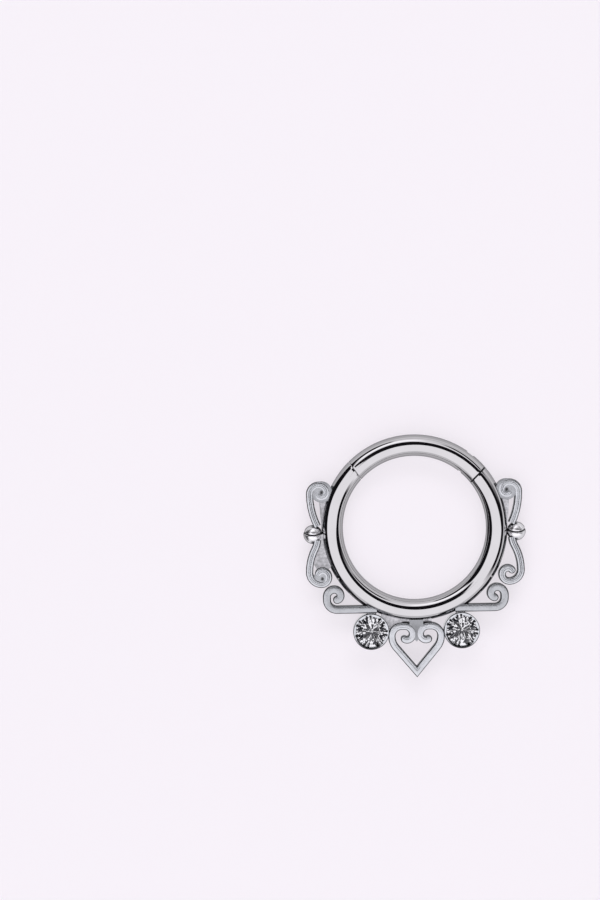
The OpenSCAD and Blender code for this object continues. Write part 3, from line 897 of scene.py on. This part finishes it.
class Surface(Nodes):
    """The nodes of one material: its shader, and noise in the object's own coordinates."""

    def __init__(self, name):
        self.material = bpy.data.materials.new(name)
        super().__init__(self.material)
        self.shader = self.node("ShaderNodeBsdfPrincipled")
        self.node("ShaderNodeOutputMaterial", Surface=self.shader.outputs[0])
        self.place = self.node("ShaderNodeTexCoord").outputs["Object"]

    def give(self, name, value):
        self.feed(value, self.shader.inputs[name])

    def noise(self, size, detail=3.0, rough=0.5, stretch=None):
        """Noise whose features are about size millimetres across."""
        place = self.place
        if stretch:
            place = self.node("ShaderNodeMapping", Vector=place, Scale=stretch).outputs[0]
        made = self.node(
            "ShaderNodeTexNoise", Vector=place, Scale=1 / (size * MM), Detail=detail, Roughness=rough
        )
        return made.outputs["Fac"]

    def tone(self, value, rgb, low, high, reach=NOISE_REACH):
        """Turns noise into shades of a colour between two shares of it."""
        made = self.node("ShaderNodeValToRGB")
        for element, side, k in zip(made.color_ramp.elements, (-1, 1), (low, high)):
            element.position = 0.5 + side * reach
            element.color = (*scaled(rgb, k), 1)
        self.feed(value, made.inputs[0])
        return made.outputs[0]

    def spread(self, value, low, high):
        """Turns noise into a number between low and high."""
        return self.rescale(value, 0.5 - NOISE_REACH, 0.5 + NOISE_REACH, low, high)

    def bump(self, value, strength, height, under=None):
        """Relief whose noise stands height millimetres high, over another relief if given."""
        made = self.node("ShaderNodeBump", Strength=strength, Distance=height * MM, Height=value)
        if under:
            self.feed(under, made.inputs["Normal"])
        return made.outputs[0]

    def metal(self, colour, roughness, relief):
        for name, value in (("Base Color", colour), ("Roughness", roughness), ("Normal", relief)):
            self.give(name, value)
        self.give("Metallic", 1)
        return self.material

    def off_middle(self):
        """Height off the part's middle plane, in metres."""
        z = self.axes(self.place)["Z"]
        return self.math("ABSOLUTE", self.math("SUBTRACT", z, plan().wire_r * MM))

    def facet_marks(self):
        """Painted reflections: the dark flashes of the stones' lower facets, 1 where dark: short
        radial dashes in groups near the rim, where sin(21 t) and sin(7 t) are high, t the angle round
        the stone, and crooked strokes round the middle."""
        p = plan()
        place = self.axes(self.place)
        side = self.math("SIGN", place["X"])
        x = self.math("MULTIPLY_ADD", side, -p.cup_x * MM, place["X"])
        y = self.math("SUBTRACT", place["Y"], (p.cup_y + p.centre_y) * MM)
        r = self.math("SQRT", self.math("ADD", self.math("POWER", x, 2), self.math("POWER", y, 2)))
        r = self.stone_reach = self.math("MULTIPLY", r, 1 / MM)
        t = self.math("ARCTAN2", y, x)

        def wave(times, turn_by, swing=None):
            angle = self.math("MULTIPLY_ADD", t, times, turn_by)
            return self.math("SINE", self.math("ADD", angle, swing) if swing else angle)

        swing = self.math("MULTIPLY", wave(3, 0.4), 1.3)
        dash = self.step(wave(21, 0.3, swing), -0.1, 0.25)
        group = self.step(wave(7, -10.1), -0.15, 0.12)
        inner = self.math("MULTIPLY_ADD", wave(5, 1), DASH_SWAY, DASH_FROM)
        reach = self.step(self.math("SUBTRACT", r, inner), 0, 0.015)
        far = self.step(r, DASH_TO, 0.015)
        near_rim = self.math("MULTIPLY", reach, self.math("SUBTRACT", 1, far))
        dashes = self.math("MULTIPLY", self.math("MULTIPLY", dash, group), near_rim)
        bend = self.math("MULTIPLY_ADD", r, 5, self.math("MULTIPLY", wave(2, 0), 1.6))
        stroke = self.step(wave(6, 0.5, bend), 0.6, 0.15)
        mid = self.math("MULTIPLY", self.step(r, STROKE_FROM, 0.03),
                        self.math("SUBTRACT", 1, self.step(r, STROKE_TO, 0.06)))
        return self.math("MAXIMUM", dashes, self.math("MULTIPLY", stroke, mid))


def scaled(rgb, k):
    return tuple(c * k for c in rgb)


def polished_steel(finish):
    """Mirror-polished steel: faint wipe marks and hairlines in the gloss, almost no bump."""
    m = Surface("polished_steel")
    wipe = m.noise(1.4, 4)
    hair = m.noise(0.05, 2, 0.6, (1, 1, 12))
    m.give("Specular Tint", EDGE_TINT)
    gloss = m.spread(wipe, finish.polished_rough * 0.7, finish.polished_rough * 1.4)
    return m.metal(m.tone(wipe, finish.polished, 0.97, 1.03), gloss, m.bump(hair, 0.06, 0.0015))


def satin_steel(finish):
    return cast_steel(finish, "satin_steel", 1)


def bar_painted_shade(finish):
    """The bars are a darker copy of the scrolls' steel: painted shade."""
    return cast_steel(finish, "bar_steel", 0.8)


def neck_painted_shade(finish):
    """The neck over the heart is the darkest copy of the scrolls' steel: painted shade."""
    return cast_steel(finish, "neck_steel", 0.58)


def cast_steel(finish, name, shade_of):
    """Cast steel with a tumbled, satin face: fine grain, soft dents and uneven gloss. Painted
    shade darkens the engraved lines and the faces' rounded edges, by the height off the strips'
    middle plane, and less so the side walls. shade_of gives darker copies, painted shade too."""
    m = Surface(name)
    cloud = m.noise(0.5, 4)
    grain = m.noise(0.045, 3, 0.6)
    dent = m.noise(0.16, 2)
    satin = scaled(finish.satin, shade_of)
    height = m.off_middle()
    # Painted shade by height: a dark band along the edges and in the engraved lines, dimmer side walls
    face = m.step(height, PAINTED_SHADE_TOP * MM, PAINTED_SHADE_SOFT * MM)
    over_wall = m.step(height, WALL_TOP * MM, WALL_SOFT * MM)
    wall = m.math("MULTIPLY", m.math("SUBTRACT", 1, over_wall), WALL_SHARE)
    bright = m.math("MAXIMUM", face, wall)
    colour = m.mixed(bright, scaled(satin, 0.1), m.tone(cloud, satin, 0.9, 1.1))
    m.give("Specular Tint", EDGE_TINT)
    gloss = m.spread(grain, finish.satin_rough * 0.8, finish.satin_rough * 1.25)
    return m.metal(colour, gloss, m.bump(grain, 0.15, 0.003, m.bump(dent, 0.35, 0.012)))


def bead_steel(finish):
    """Brushed-up steel of the beads: brighter than the scrolls, with soft turning marks. Round
    their middle, by the height off the middle plane, they are painted dark: painted shade along their
    outline."""
    m = Surface("bead_steel")
    cloud = m.noise(0.4, 3)
    marks = m.noise(0.05, 2, 0.5, (1, 5, 1))
    above = m.step(m.off_middle(), BEAD_PAINTED_SHADE_TOP * MM, BEAD_PAINTED_SHADE_SOFT * MM)
    colour = m.mixed(above, scaled(finish.cut, 0.5), m.tone(cloud, finish.bead, 0.8, 1.07))
    return m.metal(colour, m.spread(marks, 0.24, 0.32), m.bump(marks, 0.08, 0.003))


def cup_steel(finish):
    """Bright-cut steel of the cups, with a painted reflection of the stones' dark flashes on the rim
    and painted shade along its outer edge.
    """
    m = Surface("cup_steel")
    cloud = m.noise(0.3, 3)
    grain = m.noise(0.05, 3, 0.6)
    colour = m.tone(cloud, finish.satin, 0.95, 1.15)
    # Painted reflection of the stones' dark flashes on the rim
    colour = m.mixed(m.facet_marks(), colour, scaled(finish.cut, 0.2))
    # Painted shade: a dark outline along the rim's outer edge
    on_rim = m.step(m.axes(m.place)["Z"], RIM_Z * MM, 0.01 * MM)
    outline = m.math("MULTIPLY", on_rim, m.step(m.stone_reach, plan().cup_r - RIM_SHADE_W, 0.01))
    colour = m.mixed(outline, colour, scaled(finish.cut, 0.5))
    return m.metal(colour, m.spread(grain, 0.14, 0.22), m.bump(grain, 0.12, 0.002))


def solder_steel(finish):
    """Solder that has run and cooled: duller and more uneven than the steel beside it."""
    m = Surface("solder")
    cloud = m.noise(0.2, 5, 0.65)
    colour = m.tone(cloud, finish.solder, 0.65, 1.25, 0.15)
    return m.metal(colour, m.spread(cloud, 0.3, 0.45), m.bump(cloud, 0.3, 0.012))


def cut_steel(finish):
    """Dark steel of painted shade on sawn ends and in grooves, seats and seams, with cross marks from
    the blade in its gloss.
    """
    m = Surface("cut_steel")
    cloud = m.noise(0.25, 4)
    marks = m.noise(0.03, 2, 0.5, (1, 1, 8))
    colour = m.tone(cloud, finish.cut, 0.7, 1.3)
    return m.metal(colour, m.spread(marks, 0.4, 0.6), m.bump(marks, 0.3, 0.003))


def clear_crystal(finish):
    """Clear cut crystal: polished facets with the faintest wipe marks, a breath of tint, and the
    lower facets' dark flashes painted black on it as painted reflections.
    """
    m = Surface("clear_crystal")
    wipe = m.noise(0.6, 3)
    colour = m.tone(wipe, finish.crystal, 0.985, 1)
    # Painted reflections: the lower facets' dark flashes, black in the base colour
    m.give("Base Color", m.mixed(m.facet_marks(), colour, BLACK))
    m.give("Specular Tint", (0.3, 0.3, 0.3))
    m.give("Metallic", 0)
    m.give("IOR", finish.crystal_bend)
    m.give("Transmission Weight", 1)
    m.give("Roughness", m.spread(wipe, 0.0, 0.012))
    return m.material


def paper_floor(stage):
    """Plain pale paper: flat colour within one part in a hundred, a barely felt tooth."""
    m = Surface("paper_floor")
    cloud = m.noise(9, 3)
    tooth = m.noise(0.25, 3)
    lit = scaled(stage.floor_colour, 1 - stage.floor_glow)
    m.give("Base Color", m.tone(cloud, lit, 0.997, 1))
    m.give("Emission Color", stage.floor_colour)
    m.give("Emission Strength", stage.floor_glow)
    m.give("Roughness", m.spread(tooth, 0.85, 0.95))
    m.give("Specular IOR Level", 0.1)
    m.give("Normal", m.bump(tooth, 0.05, 0.004))
    return m.material


def kept(name, maker):
    """The named material, made once."""
    found = bpy.data.materials.get(name)
    return found if found else maker(bpy.context.scene.septum_ring.finish)


# Operators


SIDES = ((-1, "left"), (1, "right"))


class SEPTUM_OT_ring_wire(bpy.types.Operator):
    """Make the lower part of the ring with its hinge tongue and latch socket"""

    bl_idname = "septum_ring.ring_wire"
    bl_label = "Ring Wire"

    def execute(self, context):
        steel = [kept("polished_steel", polished_steel), kept("cut_steel", cut_steel)]
        make_piece("ring_wire", ring_wire(plan()), steel)
        return {"FINISHED"}


class SEPTUM_OT_segment(bpy.types.Operator):
    """Make the hinged upper part of the ring and the hinge pin"""

    bl_idname = "septum_ring.segment"
    bl_label = "Hinged Segment"

    def execute(self, context):
        steel = [kept("polished_steel", polished_steel), kept("cut_steel", cut_steel)]
        make_piece("segment_wire", hinged_segment(plan()), steel, "segment", "hinged_segment")
        make_piece("segment_pin", hinge_pin(plan()), steel, "segment", "hinge_pin")
        return {"FINISHED"}


class SEPTUM_OT_scrolls(bpy.types.Operator):
    """Make the upper scrolls, the lower scrolls and the bars with their curls"""

    bl_idname = "septum_ring.scrolls"
    bl_label = "Scrolls"

    def execute(self, context):
        p = plan()
        steel = [kept("satin_steel", satin_steel)]
        r = p.outer_r
        disc_depth = p.depth * DISC_DEPTH
        upper = strip(UPPER_SCROLL, UPPER_START, r, p.strip_w, p.depth, SCROLL_LINES)
        upper += button(*(share_of_r * r for share_of_r in UPPER_DISC), disc_depth, UPPER_DIMPLE)
        lower = strip(LOWER_SCROLL, LOWER_START, r, p.strip_w, p.depth, SCROLL_LINES)
        bar_from = p.bar_x / r
        run = [[BAR_END - bar_from, 0]] + BAR_CURL
        bar = strip(run, (bar_from, BAR_Y, 0), r, p.bar_w, p.depth)
        make_pair("upper_scroll", upper, steel)
        make_pair("lower_scroll", lower, steel)
        make_pair("bar", bar, [kept("bar_steel", bar_painted_shade)])
        make_piece("curl_fill_left", button(*LOWER_DISC, disc_depth, LOWER_DIMPLE), steel)
        return {"FINISHED"}


class SEPTUM_OT_heart(bpy.types.Operator):
    """Make the openwork heart and the neck that joins it to the ring"""

    bl_idname = "septum_ring.heart"
    bl_label = "Heart"

    def execute(self, context):
        p = plan()
        steel = [kept("satin_steel", satin_steel)]
        half = half_heart(p)
        make_piece("heart", [half, mirrored(half, 0)], steel)
        make_piece("heart_neck", neck(p), [kept("neck_steel", neck_painted_shade)])
        return {"FINISHED"}


class SEPTUM_OT_beads(bpy.types.Operator):
    """Make the two grooved side beads"""

    bl_idname = "septum_ring.beads"
    bl_label = "Beads"

    def execute(self, context):
        steel = [kept("bead_steel", bead_steel), kept("cut_steel", cut_steel)]
        for side, hand in SIDES:
            make_piece("bead_" + hand, bead(plan(), side), steel)
        return {"FINISHED"}


class SEPTUM_OT_cups(bpy.types.Operator):
    """Make the two bezel cups"""

    bl_idname = "septum_ring.cups"
    bl_label = "Cups"

    def execute(self, context):
        steel = [kept("cup_steel", cup_steel), kept("cut_steel", cut_steel)]
        for side, hand in SIDES:
            make_piece("cup_" + hand, cup(plan(), side), steel, sharp=50)
        return {"FINISHED"}


class SEPTUM_OT_solder(bpy.types.Operator):
    """Make the thin webs of solder between ring, scrolls, cups and heart, and dark sheets of painted
    shadow beside the neck
    """

    bl_idname = "septum_ring.solder"
    bl_label = "Solder"

    def execute(self, context):
        p = plan()
        solder = [kept("solder", solder_steel)]
        make_pair("curl_web", web(p, CURL_WEB), solder)
        make_piece("scroll_web", web(p, SCROLL_WEB), solder)
        make_piece("heart_web", web(p, LOBE_WEB), solder)
        make_pair("lobe_tie", web(p, LOBE_TIE), solder)
        # Dark sheets deep in the gaps beside the neck: painted shadow
        make_pair("lobe_seam", web(p, LOBE_GAP_SHADE, 0.6), [kept("cut_steel", cut_steel)])
        for side, hand in SIDES:
            make_piece("cup_post_" + hand, cup_post(p, side), solder)
        return {"FINISHED"}


class SEPTUM_OT_stones(bpy.types.Operator):
    """Give the two cut stones their crystal"""

    bl_idname = "septum_ring.stones"
    bl_label = "Stones"

    def execute(self, context):
        crystal = kept("clear_crystal", clear_crystal)
        for _, hand in SIDES:
            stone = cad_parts["stone_" + hand]
            stone.data.materials.clear()
            stone.data.materials.append(crystal)
        return {"FINISHED"}


# Studio as the polished wire shows it: a wide white ceiling with a dark bar across it, a black
# card on the left and a dark rim behind. Each row is an azimuth and a polar angle off the
# upright, in degrees. First come the bar's middle and its half width
BAR_MIDDLE = [
    (-8, 62), (0, 55), (20, 36), (45, 23), (60, 18.5), (75, 17), (90, 18.5), (105, 20),
    (115, 21), (125, 23.5), (134, 30),
]
BAR_HALF = [
    (-8, 12), (0, 14.5), (20, 15.5), (45, 19), (60, 20), (75, 20), (90, 20), (105, 18.5),
    (115, 16), (125, 12), (134, 7),
]
# The card's upper and lower edge
CARD_LOW = [
    (105, 63), (115, 59), (125, 57), (135, 45), (145, 44), (160, 51), (180, 54), (195, 58),
    (210, 68), (225, 82), (238, 98),
]
CARD_HIGH = [
    (105, 74), (115, 79), (125, 80), (135, 84), (145, 90), (160, 110), (180, 124), (195, 112),
    (210, 106), (225, 112), (238, 104),
]
# How dark the rim is at an azimuth, in hundredths
RIM_SHARE = [
    (-40, 0), (-28, 100), (12, 100), (24, 75), (36, 30), (62, 30), (76, 18), (100, 10), (106, 0),
]
# The least angle that these rows may hold; the most is a full turn more
CURVE_LOW = -120
# Stretches in degrees: first, last and how soft both ends are. OFF counts polar angles and WAY
# azimuths. The lamp's are slopes off the upright, INSIDE counts from a dark shape's own edge
INSIDE = (0, 90, 1.5)
BAR_WAY = (-10, 134, 3)
CARD_WAY = (101, 239, 3)
RIM_OFF = (46.5, 74, 2.5)
EDGE_OFF, EDGE_WAY = (51, 65, 2), (30, 66, 8)
LOW_SKY_OFF = (70, 86, 4)
BELOW_OFF = (90, 190, 3)
GLINT_OFF, GLINT_WAY = (47, 59, 3), (82, 128, 6)
LAMP_UP, LAMP_ACROSS = (47, 62, 4), (-38, 38, 6)
GEM_MIDDLE_OFF, GEM_RING_OFF = (-5, 11, 2), (36, 42, 2)
# How dark the low sky is, and how light other parts are against the white ceiling
LOW_SKY_DARK = 0.4
BELOW_LIGHT, GLINT_LIGHT, GEM_LIGHT = 0.55, 1.35, 0.72
# How many times lighter than black the dark parts are that show through the stones
GEM_BLACK = 4
# The pale colour that the camera sees beyond the floor
FAR_COLOUR = (0.947, 0.905, 0.956)
# The azimuth is cut 180 degrees from here, where no stretch ends
CUT_TURN = 80


class Sky(Nodes):
    """The nodes of the studio's world, which are functions of the direction alone."""

    def __init__(self, world):
        super().__init__(world)
        x, y, z = self.axes(self.node("ShaderNodeTexCoord").outputs["Generated"])
        self.off = self.math("ARCCOSINE", z)
        self.up = self.math("ARCTAN2", y, z)
        self.across = self.math("ARCTAN2", x, z)
        turn_by = math.radians(CUT_TURN)
        c, s = math.cos(turn_by), math.sin(turn_by)
        turned_x = self.math("MULTIPLY_ADD", y, s, self.math("MULTIPLY", x, c))
        turned_y = self.math("MULTIPLY_ADD", y, c, self.math("MULTIPLY", x, -s))
        self.way = self.math("ADD", self.math("ARCTAN2", turned_y, turned_x), turn_by)

    def zone(self, value, low, high, soft):
        """A band whose edges are given in degrees."""
        return self.band(value, *map(math.radians, (low, high, soft)))

    def both(self, a, b):
        return self.math("MULTIPLY", a, b)

    def most(self, first, *others):
        for other in others:
            first = self.math("MAXIMUM", first, other)
        return first

    def patch(self, off, way):
        """A patch of sky between two polar angles and two azimuths."""
        return self.both(self.zone(self.off, *off), self.zone(self.way, *way))

    def curve(self, points):
        """A broken line over the azimuth, through rows of (degrees, degrees)."""
        made = self.node("ShaderNodeValToRGB")
        ramp = made.color_ramp
        while len(ramp.elements) < len(points):
            ramp.elements.new(0.5)
        for element, row in zip(ramp.elements, points):
            element.position, level = ((degrees - CURVE_LOW) / 360 for degrees in row)
            element.color = (level, level, level, 1)
        turns = self.math("MULTIPLY_ADD", self.way, 0.5 / math.pi, -CURVE_LOW / 360)
        self.feed(turns, made.inputs[0])
        low = math.radians(CURVE_LOW)
        return self.math("MULTIPLY_ADD", made.outputs[0], 2 * math.pi, low)


def dark_shapes(sky):
    """How dark the ceiling is, for the bar alone and for all dark shapes. A shape is a band of
    polar angles whose edges depend on the azimuth."""
    off_bar = sky.math("ABSOLUTE", sky.math("SUBTRACT", sky.off, sky.curve(BAR_MIDDLE)))
    bar = sky.zone(sky.math("SUBTRACT", sky.curve(BAR_HALF), off_bar), *INSIDE)
    bar = sky.both(bar, sky.zone(sky.way, *BAR_WAY))
    over = sky.math("SUBTRACT", sky.off, sky.curve(CARD_LOW))
    under = sky.math("SUBTRACT", sky.curve(CARD_HIGH), sky.off)
    card = sky.zone(sky.math("MINIMUM", over, under), *INSIDE)
    card = sky.both(card, sky.zone(sky.way, *CARD_WAY))
    share_here = sky.both(sky.curve(RIM_SHARE), 1 / math.radians(100))
    rim = sky.both(sky.zone(sky.off, *RIM_OFF), share_here)
    edge = sky.patch(EDGE_OFF, EDGE_WAY)
    low_sky = sky.both(sky.zone(sky.off, *LOW_SKY_OFF), LOW_SKY_DARK)
    return bar, sky.most(bar, card, rim, edge, low_sky)


def studio_world(stage):
    """Soft white ceiling with dark shapes. The camera itself sees the floor's own pale colour."""
    world = bpy.data.worlds.new("studio")
    bpy.context.scene.world = world
    sky = Sky(world)
    path = sky.node("ShaderNodeLightPath").outputs
    white = (stage.light, stage.light * 0.98, stage.light * 1.01)
    bar, dark = dark_shapes(sky)
    # Polished steel sees the sky below the horizon in place of the floor
    below = sky.zone(sky.off, *BELOW_OFF)
    seen = sky.mixed(dark, sky.mixed(below, white, scaled(white, BELOW_LIGHT)), BLACK)
    # A brighter stretch behind, between the bar and the rim
    seen = sky.mixed(sky.patch(GLINT_OFF, GLINT_WAY), seen, scaled(white, GLINT_LIGHT))
    # A lamp behind, which lights dull surfaces and shows in no mirror
    lamp = sky.both(sky.zone(sky.up, *LAMP_UP), sky.zone(sky.across, *LAMP_ACROSS))
    lamp = sky.both(lamp, path["Is Diffuse Ray"])
    seen = sky.mixed(lamp, seen, scaled(white, stage.key_light))
    # Through the stones the sky has a dark middle, as the lens over them gives, and a dark ring
    middle, ring = (sky.zone(sky.off, *off) for off in (GEM_MIDDLE_OFF, GEM_RING_OFF))
    gem_dark = sky.most(middle, ring, bar)
    gem_sky = sky.mixed(gem_dark, scaled(white, GEM_LIGHT), scaled(BLACK, GEM_BLACK))
    seen = sky.mixed(path["Is Transmission Ray"], seen, gem_sky)
    shown = [sky.node("ShaderNodeBackground", Color=colour).outputs[0] for colour in (seen, FAR_COLOUR)]
    choose = sky.node("ShaderNodeMixShader")
    for socket, value in zip(choose.inputs, (path["Is Camera Ray"], *shown)):
        sky.feed(value, socket)
    sky.node("ShaderNodeOutputWorld", Surface=choose.outputs[0])


# Half the floor's width and the camera's clipping, in metres
FLOOR_HALF = 0.6
CAMERA_CLIP = (0.01, 10)
# The photo's scale in millimetres to a pixel, its size and its turn, and the ring's middle in it
PIXEL = 0.0559
IMAGE_W, IMAGE_H = 600, 900
ROLL = math.radians(1.0)
RING_AT = (414.4, 527.4)


class SEPTUM_OT_stage(bpy.types.Operator):
    """Make the pale floor, the soft studio light and the camera"""

    bl_idname = "septum_ring.stage"
    bl_label = "Stage"

    def execute(self, context):
        stage = context.scene.septum_ring.stage
        p = plan()
        context.scene.view_settings.view_transform = "Standard"
        studio_world(stage)
        half = FLOOR_HALF
        mesh = bpy.data.meshes.new("floor")
        corners = [(-half, -half, 0), (half, -half, 0), (half, half, 0), (-half, half, 0)]
        mesh.from_pydata(corners, [], [(0, 1, 2, 3)])
        mesh.materials.append(paper_floor(stage))
        floor = bpy.data.objects.new("floor", mesh)
        context.scene.collection.objects.link(floor)
        floor.visible_glossy = False
        camera = bpy.data.objects.new("camera", bpy.data.cameras.new("camera"))
        context.scene.collection.objects.link(camera)
        camera.data.lens = stage.lens
        camera.data.clip_start, camera.data.clip_end = CAMERA_CLIP
        distance = IMAGE_H * PIXEL * stage.lens / camera.data.sensor_width
        x = (IMAGE_W / 2 - RING_AT[0]) * PIXEL
        y = (RING_AT[1] - IMAGE_H / 2) * PIXEL
        place = np.array([
            x * math.cos(ROLL) + y * math.sin(ROLL), y * math.cos(ROLL) - x * math.sin(ROLL),
            distance,
        ])
        camera.location = p.put(place)
        camera.rotation_euler = (0, 0, -ROLL)
        context.scene.camera = camera
        return {"FINISHED"}


OPERATORS = (
    SEPTUM_OT_ring_wire,
    SEPTUM_OT_segment,
    SEPTUM_OT_scrolls,
    SEPTUM_OT_heart,
    SEPTUM_OT_beads,
    SEPTUM_OT_cups,
    SEPTUM_OT_solder,
    SEPTUM_OT_stones,
    SEPTUM_OT_stage,
)


class SEPTUM_PT_panel(bpy.types.Panel):
    """Lists the pieces of the septum ring"""

    bl_idname = "SEPTUM_PT_panel"
    bl_label = "Septum Ring"
    bl_space_type = "VIEW_3D"
    bl_region_type = "UI"
    bl_category = "Septum Ring"

    def draw(self, context):
        for operator in OPERATORS:
            self.layout.operator(operator.bl_idname)
        for part in SeptumRingSettings.__annotations__:
            group = getattr(context.scene.septum_ring, part)
            box = self.layout.box()
            for key in group.__annotations__:
                box.prop(group, key)


GROUPS = (
    SeptumRingWire,
    SeptumRingFiligree,
    SeptumRingStones,
    SeptumRingFinish,
    SeptumRingStage,
    SeptumRingSettings,
)
CLASSES = GROUPS + OPERATORS + (SEPTUM_PT_panel,)


def register():
    for made in CLASSES:
        bpy.utils.register_class(made)
    bpy.types.Scene.septum_ring = pointer(
        SeptumRingSettings, "Septum Ring", "Sizes, colours and stage"
    )


def unregister():
    del bpy.types.Scene.septum_ring
    for made in reversed(CLASSES):
        bpy.utils.unregister_class(made)


def main():
    register()
    for operator in OPERATORS:
        group, call = operator.bl_idname.split(".")
        getattr(getattr(bpy.ops, group), call)()


if __name__ == "__main__":
    main()
